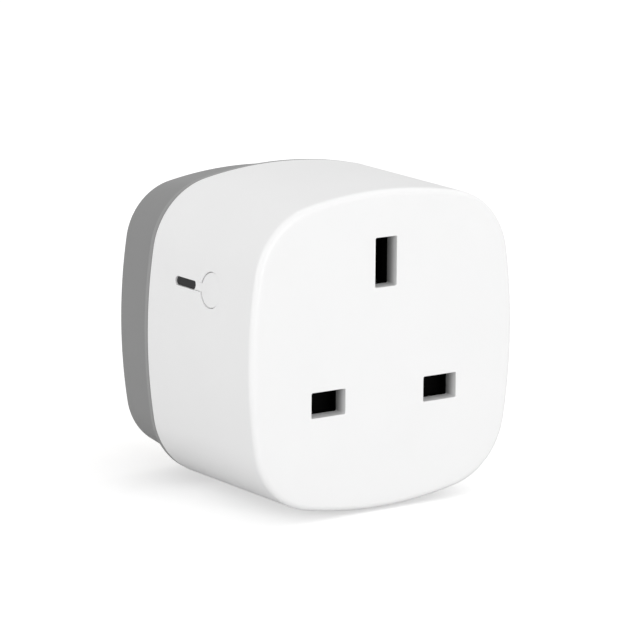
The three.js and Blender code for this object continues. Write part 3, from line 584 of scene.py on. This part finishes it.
def makeCover():
    shell = caseLoft("coverShell", coverProfile())
    posts, holes, seat = bmesh.new(), bmesh.new(), bmesh.new()
    for x, z in screwCentres():
        rodTool(posts, x, z, coverShape["post"], insideY - beyond, coverShape["postEnd"])
        rodTool(holes, x, z, coverShape["pilot"], coverShape["pilotEnd"], 0, 32)
    for name in pinSections:
        apertureTool(holes, name, frontY, insideY + beyond)
    flare = keyhole["flare"]
    sections = [(flare, -beyond)] + arcOf(flare, flare, flare, 270, 180, 4) + [(0, 4)]
    loft(holes, [keyholeLoop(holes, grow, depth) for grow, depth in sections])
    # the wall is thinned from inside where the flanges lie against it
    reach = keyhole["disc"] + keyhole["flangeReach"] + keyhole["seatRoom"]
    boxTool(seat, (padX - keyhole["seatSkin"], discY - reach, controlZ - reach),
            (padX + 3, slotBackY + keyhole["seatEnd"], controlZ + reach))
    carve(shell, ("UNION", toObject(posts, "posts")))
    carve(shell, ("DIFFERENCE", toObject(seat, "seat")), ("DIFFERENCE", toObject(holes, "holes")))
    return dress(shell, "case", coverSkin, ["front_cover"])


makeCover()
print("cover made")


def makeCrown():
    # the disc's face is slightly domed
    rim = keyhole["disc"] - keyhole["capEdge"] - keyhole["crownGap"]
    shares = [1, 0.88, 0.75, 0.6, 0.45, 0.3, 0.1]  # of the rim's radius
    half = (0, 0, -math.pi, keyhole["discSteps"])
    sections = [(1, keyhole["recess"] + 0.3)]
    sections += [(share, keyhole["recess"] - keyhole["crown"] * (1 - share ** 2)) for share in shares]
    bm = bmesh.new()
    loft(bm, [sideLoop(bm, (-rim * share, 0), [half], depth) for share, depth in sections])
    return toObject(bm, "crown")


def makeButton():
    edge, recess = keyhole["capEdge"], keyhole["recess"]
    bm = bmesh.new()
    sections = arcOf(-edge, recess + edge, edge, 270, 360, 4)
    loops = [buttonLoop(bm, grow, depth) for grow, depth in sections]
    loops.append(buttonLoop(bm, 0, keyhole["capDepth"]))
    loft(bm, loops)
    cap = toObject(bm, "buttonCap")
    flange, stem = bmesh.new(), bmesh.new()
    outline = []
    for x in (padX, padX + keyhole["flange"]):
        edges = buttonLoop(flange, keyhole["flangeReach"], 0, 0)
        for vert in {v for e in edges for v in e.verts}:
            vert.co.x = x
        outline.append(edges)
    loft(flange, outline)
    middle = Matrix.Translation(((padX + capHigh.x) / 2, discY, controlZ))
    bmesh.ops.create_cone(stem, cap_ends=True, segments=32, radius1=keyhole["stem"],
                          radius2=keyhole["stem"], depth=capHigh.x - padX,
                          matrix=middle @ Matrix.Rotation(math.pi / 2, 4, "Y"))
    carve(cap, ("UNION", makeCrown()))
    carve(cap, ("UNION", toObject(flange, "flange")))
    carve(cap, ("UNION", toObject(stem, "stem")))
    return dress(cap, "button", whiteSkin, ["button_cap"])


def makeLens():
    edge, recess = keyhole["lensEdge"], keyhole["lensRecess"]
    bm = bmesh.new()
    loops = [lensLoop(bm, grow, depth) for grow, depth in arcOf(-edge, recess + edge, edge, 270, 360, 3)]
    loops.append(lensLoop(bm, 0, keyhole["lensDepth"]))
    loft(bm, loops)
    lens = toObject(bm, "indicatorLens")
    flange = bmesh.new()
    clearOfNeck = lensEndY - keyhole["neckClear"]  # the button's flange ends before this
    boxTool(flange, (lensHigh.x - keyhole["lensFlange"], clearOfNeck, lensLow.z), lensHigh)
    carve(lens, ("UNION", toObject(flange, "flange")))
    return dress(lens, "case", smokedLens, ["indicator_window"])


makeButton()
makeLens()
print("side controls made")


# the base

baseShape = {
    "lipInset": 0.06, "lipDepth": 0.95, "lipEdge": 0.16, "coveInset": 1.45, "coveDepth": 2.6,
    "inset": 2.35, "fillet": 0.6, "floor": 2.5, "wall": 4.0, "tongue": 2.2, "tongueInset": 2.05,
    "column": 3.7, "columnEnd": -8.0, "well": 2.4, "wellEnd": -4.6, "bore": 1.45, "mouth": 0.25,
    "postRoom": 0.25, "pinFit": 0.06, "labelGap": 0.1, "labelRecess": 0.35, "labelCorner": 0.6,
    "midInset": 1.9, "midDepth": 7.5, "coveSteps": 12, "chamfer": 0.3,
}


# paints a highlight on the lip beside the seam
paintLipHighlight(seamY + baseShape["lipDepth"])


def baseProfile():
    shape = baseShape
    edge, lip = shape["lipEdge"], shape["lipInset"]
    coveFrom = seamY + shape["lipDepth"]
    wall, tongue, chamfer = shape["wall"], shape["tongueInset"], shape["chamfer"]
    tongueY = seamY - shape["tongue"]
    inner = [(wall, -shape["floor"]), (wall, tongueY + chamfer), (wall - chamfer, tongueY),
             (tongue + chamfer, tongueY), (tongue + chamfer / 3, tongueY + chamfer), (tongue, seamY)]
    front = arcOf(lip + edge, seamY + edge, edge, 270, 180, 4)
    back = arcOf(lip + edge, coveFrom - edge, edge, 180, 90, 4)
    cove = []
    for i in range(1, shape["coveSteps"] + 1):
        share = 1 - math.cos(i / shape["coveSteps"] * math.pi / 2)
        cove.append((lip + shape["coveInset"] * math.sqrt(1 - (1 - share) ** 2),
                     coveFrom + shape["coveDepth"] * share))
    cove = [point for point in cove if point[0] > back[-1][0] + 0.05]  # starts clear of the lip's edge
    side = [(shape["midInset"], seamY + shape["midDepth"])]
    rear = arcOf(shape["inset"] + shape["fillet"], -shape["fillet"], shape["fillet"], 180, 90, 6)
    return inner + front + back + cove + side + rear + [(shape["inset"] + shape["fillet"] + 1, 0)]


def mouthTool(bm, loopAt, end, mouth):
    # a hole through the wall face, with a small rounded mouth
    sections = [(mouth, beyond)] + arcOf(mouth, -mouth, mouth, 90, 180, 4) + [(0, end)]
    loft(bm, [loopAt(bm, grow, y) for grow, y in sections])


def roundLoop(x, z, radius):
    def at(bm, grow, y):
        return closedLoop(bm, (radius + grow, 0), [(0, 0, math.pi / 2, 12)], y, shift=(x, 0, z))
    return at


def makeBase():
    shape = baseShape
    shell = caseLoft("baseShell", baseProfile())
    columns, room, wells, bores, labelSeat = (bmesh.new() for _ in range(5))
    for x, z in screwCentres():
        rodTool(columns, x, z, shape["column"], shape["columnEnd"], -shape["floor"] + 0.5)
        rodTool(room, x, z, coverShape["post"] + shape["postRoom"], seamY - 3, shape["columnEnd"])
        mouthTool(wells, roundLoop(x, z, shape["well"]), shape["wellEnd"], shape["mouth"])
        rodTool(bores, x, z, shape["bore"], shape["columnEnd"] - beyond, -1, 32)
    for name, (width, height) in pinSections.items():
        x, z = pinCentre(name)
        halfWidth, halfHeight = width / 2 + shape["pinFit"], height / 2 + shape["pinFit"]
        boxTool(wells, (x - halfWidth, -4, z - halfHeight), (x + halfWidth, beyond, z + halfHeight))
    low, high = nodeBox("rating_label")
    gap = shape["labelGap"]
    width, height = high.x - low.x + 2 * gap, high.z - low.z + 2 * gap
    middle = ((low.x + high.x) / 2, (low.z + high.z) / 2)
    loft(labelSeat, [rectLoop(labelSeat, middle, width, height, shape["labelCorner"], y)
                     for y in (-shape["labelRecess"], beyond)])
    carve(shell, ("UNION", toObject(columns, "columns")))
    carve(shell, ("DIFFERENCE", toObject(room, "room")), ("DIFFERENCE", toObject(wells, "wells")),
          ("DIFFERENCE", toObject(bores, "bores")), ("DIFFERENCE", toObject(labelSeat, "labelSeat")))
    return dress(shell, "case", greyBase, ["rear_base"])


makeBase()
print("base made")


# pins and sleeves

pinShape = {
    "tip": 2.2, "tipInset": 1.3, "soft": 0.3, "edge": 0.28, "tail": (1.0, 2.6), "tailCorner": 0.2,
    "headFront": -4.3, "headBack": -2.6, "headCorner": 0.4, "shoulder": 0.04,
    "sleeveWall": 0.44, "sleeveFit": 0.06, "sleeveEdge": 0.1, "neckEnd": 9.5,
    "nose": [(-0.02, 0.16), (0.1, 0.04), (0.24, 0)],  # past the taper: further in, short of the end
}


def pinTaper(length):
    # (cut off each side, y): a straight taper whose two ends are eased
    tip, inset, soft = pinShape["tip"], pinShape["tipInset"], pinShape["soft"]
    slope = inset / tip
    start = [(slope * soft * t * t / 2, length - tip + soft * (t - 1) * 0.5) for t in (0, 0.5, 1)]
    end = [(inset - slope * soft * 0.6, length - soft * 0.6)]
    return start + end + [(inset + further, length - short) for further, short in pinShape["nose"]]


def makePin(node, name):
    width, height = pinSections[node]
    low, high = nodeBox(node)
    sleeved = node != "earth_pin"
    headFront, headBack = pinShape["headFront"], pinShape["headBack"]
    neck = [(0, headBack)]
    if sleeved:
        wall, neckEnd = pinShape["sleeveWall"] + pinShape["sleeveFit"], pinShape["neckEnd"]
        shoulder = pinShape["shoulder"]
        neck = [(wall, headBack), (wall, neckEnd), (shoulder, neckEnd), (0, neckEnd + shoulder)]
    bm = bmesh.new()
    centre = pinCentre(node)
    loops = []
    for cut, y in neck + pinTaper(high.y):
        corner = max(pinShape["edge"] - cut * 0.2, 0.1)
        loops.append(rectLoop(bm, centre, width - 2 * cut, height - 2 * cut, corner, y))
    loft(bm, loops)
    pin = toObject(bm, name)
    head, tail = bmesh.new(), bmesh.new()
    loft(head, [rectLoop(head, centre, high.x - low.x, high.z - low.z, pinShape["headCorner"], y)
                for y in (headFront, headBack + 0.05)])
    tailWidth, tailHeight = pinShape["tail"]
    loft(tail, [rectLoop(tail, centre, tailWidth, tailHeight, pinShape["tailCorner"], y)
                for y in (low.y, headFront + 0.2)])
    carve(pin, ("UNION", toObject(head, "head")))
    carve(pin, ("UNION", toObject(tail, "tail")))
    return dress(pin, "case", pinBrass, [node])


def makeSleeve(node, name, pinNode):
    width, height = pinSections[pinNode]
    low, high = nodeBox(node)
    wall, edge = pinShape["sleeveWall"], pinShape["sleeveEdge"]
    centre = pinCentre(pinNode)
    bm = bmesh.new()
    profile = [(wall, low.y), (edge, low.y), (0, low.y + edge)]
    profile += [(0, high.y - 1.2 * edge), (1.2 * edge, high.y), (wall, high.y)]
    loops = [rectLoop(bm, centre, width - 2 * cut, height - 2 * cut, pinShape["edge"], y)
             for cut, y in profile]
    for one, other in zip(loops, loops[1:] + loops[:1]):
        bmesh.ops.bridge_loops(bm, edges=one + other)
    sleeve = toObject(bm, name)
    return dress(sleeve, "case", sleeveBlack, [node])


for side in ("live", "neutral", "earth"):
    makePin(f"{side}_pin", f"{side}PinBlade")
for side in ("live", "neutral"):
    makeSleeve(f"{side}_pin_sleeve", f"{side}Sleeve", f"{side}_pin")
print("pins made")


# screws

screwShape = {
    "head": 2.2, "headDepth": 1.5, "dome": 0.5, "drive": 0.92, "lobe": 0.17, "driveDepth": 0.9,
    "shank": 1.15, "pitch": 0.9, "thread": 0.14, "plain": (0.4, 1.4),  # below the head, above the tip
    "tip": [(0.5, 0.4), (0.12, 0)], "sides": 72,
}


def lobedLoop(bm, x, z, y):
    shape = screwShape
    ring = bmesh.ops.create_circle(bm, segments=shape["sides"], radius=shape["drive"])["verts"]
    for vert in ring:
        angle = math.atan2(vert.co.y, vert.co.x)
        radius = shape["drive"] + shape["lobe"] * math.cos(6 * angle)
        vert.co = (x + radius * math.cos(angle), y, z + radius * math.sin(angle))
    return list({e for v in ring for e in v.link_edges})


def ringLoop(bm, x, z, radius, y):
    ring = bmesh.ops.create_circle(bm, segments=screwShape["sides"], radius=radius)["verts"]
    for vert in ring:
        vert.co = (x + vert.co.x, y, z + vert.co.y)
    return list({e for v in ring for e in v.link_edges})


def makeScrew(index, x, z):
    shape = screwShape
    low, high = nodeBox(f"case_screw_{index}")
    top = high.y
    neck = top - shape["headDepth"]
    crest, root = shape["shank"], shape["shank"] - shape["thread"]
    above, below = shape["plain"]
    bm = bmesh.new()
    loops = [lobedLoop(bm, x, z, top - shape["driveDepth"]), lobedLoop(bm, x, z, top)]
    dome = arcOf(shape["head"] - shape["dome"], top - shape["dome"], shape["dome"], 90, 0, 5)
    rings = dome + [(shape["head"], neck), (crest, neck)]
    for i in range(int((neck - low.y - above - below) / shape["pitch"])):
        y = neck - above - i * shape["pitch"]
        rings += [(root, y), (root, y - 0.35), (crest, y - 0.55), (root, y - 0.75)]
    rings += [(radius, low.y + up) for radius, up in shape["tip"]]
    loops += [ringLoop(bm, x, z, radius, y) for radius, y in rings]
    loft(bm, loops)
    return dress(toObject(bm, f"caseScrew{index}"), "case", zincSteel, [f"case_screw_{index}"])


for index, (x, z) in enumerate(screwCentres(), 1):
    makeScrew(index, x, z)
print("screws made")


# pieces that keep the model's own shape, with softened edges

def soften(node, name, body, slot, material, width):
    source = bmesh.new()
    source.from_mesh(nodes[node].data)
    bmesh.ops.remove_doubles(source, verts=source.verts, dist=0.001 * millimetre)
    bmesh.ops.dissolve_limit(source, angle_limit=math.radians(1), verts=source.verts, edges=source.edges)
    bmesh.ops.scale(source, vec=(1 / millimetre,) * 3, verts=source.verts)  # toObject scales it back
    return dress(toObject(source, name), body, material, [node], rounding=width)


soften("shutter_guide", "shutterGuide", "case", "black_plastic", blackNylon, 0.15)
soften("shutter", "shutterPlate", "shutter_slider", "black_plastic", blackNylon, 0.15)
soften("contact_block", "contactBlock", "case", "black_plastic", blackNylon, 0.2)
soften("live_contact", "liveContact", "case", "plated_contact", tinPlate, 0.08)
soften("neutral_contact", "neutralContact", "case", "plated_contact", tinPlate, 0.08)
soften("earth_contact", "earthContact", "case", "plated_contact", tinPlate, 0.08)
soften("switch_body", "switchBody", "case", "epoxy", blackEpoxy, 0.12)
soften("switch_plunger", "switchPlunger", "plunger", "white_plastic", whiteSkin, 0.12)
soften("light_guide", "lightGuide", "case", "clear_plastic", clearGuide, 0.08)
soften("status_led", "statusLed", "case", "clear_plastic", clearGuide, 0.08)
borderLabel(*nodeBox("rating_label"))
soften("rating_label", "ratingLabel", "case", "label", labelSilver, 0.04)
soften("main_board", "mainBoard", "case", "circuit_board", boardGreen, 0.06)
soften("control_board", "controlBoard", "case", "circuit_board", boardGreen, 0.06)
soften("radio_shield", "radioShield", "case", "plated_contact", tinPlate, 0.2)
soften("control_header", "controlHeader", "case", "epoxy", blackEpoxy, 0.1)
soften("relay_base", "relayBase", "case", "epoxy", blackEpoxy, 0.15)
soften("relay_case", "relayCase", "case", "blue_plastic", relayBlue, 0.35)
soften("transformer_bobbin", "transformerBobbin", "case", "epoxy", blackEpoxy, 0.15)
soften("transformer_winding", "transformerWinding", "case", "yellow_tape", windingTape, 0.2)
soften("transformer_core", "transformerCore", "case", "ferrite", ferriteGrey, 0.15)
soften("filter_capacitor", "filterCapacitor", "case", "yellow_tape", windingTape, 0.35)
soften("bulk_capacitor", "bulkCapacitor", "case", "epoxy", blackEpoxy, 0.1)
soften("smoothing_capacitor", "smoothingCapacitor", "case", "epoxy", blackEpoxy, 0.1)
soften("varistor", "varistorDisc", "case", "blue_plastic", relayBlue, 0.6)
soften("fusible_resistor", "fusibleResistor", "case", "ferrite", ferriteGrey, 0.3)
soften("bridge_rectifier", "bridgeRectifier", "case", "epoxy", blackEpoxy, 0.25)
soften("current_shunt", "currentShunt", "case", "plated_contact", tinPlate, 0.08)
soften("metering_chip", "meteringChip", "case", "epoxy", blackEpoxy, 0.06)
soften("supply_chip", "supplyChip", "case", "epoxy", blackEpoxy, 0.06)


springShape = {"wire": 0.22, "turns": 5, "ends": 1.0, "steps": 32, "sides": 10, "travel": 5.3}


def makeSpring():
    # a wire circle swept round, with closed turns at both ends
    shape = springShape
    low, high = nodeBox("shutter_spring")
    x, y = (low.x + high.x) / 2, (low.y + high.y) / 2
    radius = (high.x - low.x) / 2 - shape["wire"]
    free = high.z - low.z - 2 * shape["wire"] - 4 * shape["wire"] * shape["ends"]
    bm = bmesh.new()
    turn = Matrix.Translation((x + radius, y, low.z + shape["wire"])) @ Matrix.Rotation(math.pi / 2, 4, "X")
    bmesh.ops.create_circle(bm, segments=shape["sides"], radius=shape["wire"], cap_ends=False, matrix=turn)
    wire = bm.edges[:] + bm.verts[:]
    closed = 2 * shape["wire"] * shape["ends"]
    for turns, rise in ((shape["ends"], closed), (shape["turns"], free), (shape["ends"], closed)):
        steps = int(turns * shape["steps"])
        swept = bmesh.ops.spin(bm, geom=wire, cent=(x, y, 0), axis=(0, 0, 1), dvec=(0, 0, rise / steps),
                               angle=2 * math.pi * turns, steps=steps)
        wire = swept["geom_last"]
    bmesh.ops.remove_doubles(bm, verts=bm.verts, dist=weldGap)
    bmesh.ops.holes_fill(bm, edges=[e for e in bm.edges if e.is_boundary], sides=0)
    spring = dress(toObject(bm, "shutterSpring"), "case", zincSteel, ["shutter_spring"])
    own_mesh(spring)


makeSpring()
print("inner pieces made")


# floor, light and camera

studio = {
    "floor": 0.68, "floorRough": 0.7, "floorShine": 0.1, "floorVeil": 0.5,
    "floorSize": 6, "floorGap": 0.06, "sky": 0.67,
    "lights": {
        "top": {"place": (0.5, 0.1, 0.75), "size": 1.3, "power": 2.75},
        "front": {"place": (0.12, -1.0, 0.13), "size": 0.5, "power": 3.98},
        "left": {"place": (-0.98, -0.12, 0.1), "size": 0.9, "power": 4.42},
    },
}
viewpoint = {  # place and near in metres, turns in degrees, lens and sensor in millimetres
    "place": (-0.293714, -0.456910, 0.113251), "azimuth": -34.122, "elevation": 11.973, "roll": 0.373,
    "lens": 181.908, "sensor": 36, "near": 0.01,
}


def makeFloor():
    under = Matrix.Translation((0, 0, cadBox[0][2] - studio["floorGap"] * millimetre))
    bm = bmesh.new()
    bmesh.ops.create_grid(bm, x_segments=1, y_segments=1, size=studio["floorSize"], matrix=under)
    mesh = bpy.data.meshes.new("floor")
    bm.to_mesh(mesh)
    bm.free()
    floor = bpy.data.objects.new("floor", mesh)
    bpy.context.scene.collection.objects.link(floor)
    paint = bpy.data.materials.new("floorWhite")
    paint.use_nodes = True
    surface = paint.node_tree.nodes["Principled BSDF"]
    surface.inputs["Base Color"].default_value = (studio["floor"],) * 3 + (1,)
    surface.inputs["Roughness"].default_value = studio["floorRough"]
    surface.inputs["Specular IOR Level"].default_value = studio["floorShine"]
    # the paper comes out white to the camera, without lighting the case from below
    surface.inputs["Emission Strength"].default_value = studio["floorVeil"]
    seen = paint.node_tree.nodes.new("ShaderNodeLightPath")
    paint.node_tree.links.new(seen.outputs["Is Camera Ray"], surface.inputs["Emission Color"])
    mesh.materials.append(paint)


def makeLight(name, place, size, power):
    lamp = bpy.data.lights.new(name, "AREA")
    lamp.shape = "DISK"
    lamp.size = size
    lamp.energy = power
    light = bpy.data.objects.new(name, lamp)
    light.location = place
    light.rotation_euler = (-Vector(place)).to_track_quat("-Z", "Y").to_euler()
    bpy.context.scene.collection.objects.link(light)


def makeSky():
    world = bpy.data.worlds.new("studio")
    world.use_nodes = True
    tree = world.node_tree
    backdrop = tree.nodes["Background"]
    backdrop.inputs["Color"].default_value = (1, 1, 1, 1)
    # the wall behind is seen as plain white, while the light it gives is softer
    seen = tree.nodes.new("ShaderNodeLightPath").outputs["Is Camera Ray"]
    tree.links.new(maths(tree, "MAXIMUM", seen, studio["sky"]), backdrop.inputs["Strength"])
    bpy.context.scene.world = world


def makeCamera():
    azimuth, elevation, roll = (math.radians(viewpoint[turn]) for turn in ("azimuth", "elevation", "roll"))
    back = Vector((math.sin(azimuth) * math.cos(elevation), -math.cos(azimuth) * math.cos(elevation),
                   math.sin(elevation)))
    level = Vector((math.cos(azimuth), math.sin(azimuth), 0))
    upright = back.cross(level)
    right = math.cos(roll) * level + math.sin(roll) * upright
    up = -math.sin(roll) * level + math.cos(roll) * upright
    lens = bpy.data.cameras.new("camera")
    lens.lens = viewpoint["lens"]
    lens.sensor_width = viewpoint["sensor"]
    lens.clip_start = viewpoint["near"]
    camera = bpy.data.objects.new("camera", lens)
    turned = Matrix((right, up, back)).transposed().to_4x4()
    camera.matrix_world = Matrix.Translation(viewpoint["place"]) @ turned
    bpy.context.scene.collection.objects.link(camera)
    bpy.context.scene.camera = camera


makeFloor()
for name, light in studio["lights"].items():
    makeLight(f"{name}Light", **light)
makeSky()
makeCamera()
bpy.context.scene.view_settings.view_transform = "Standard"
print("studio made")
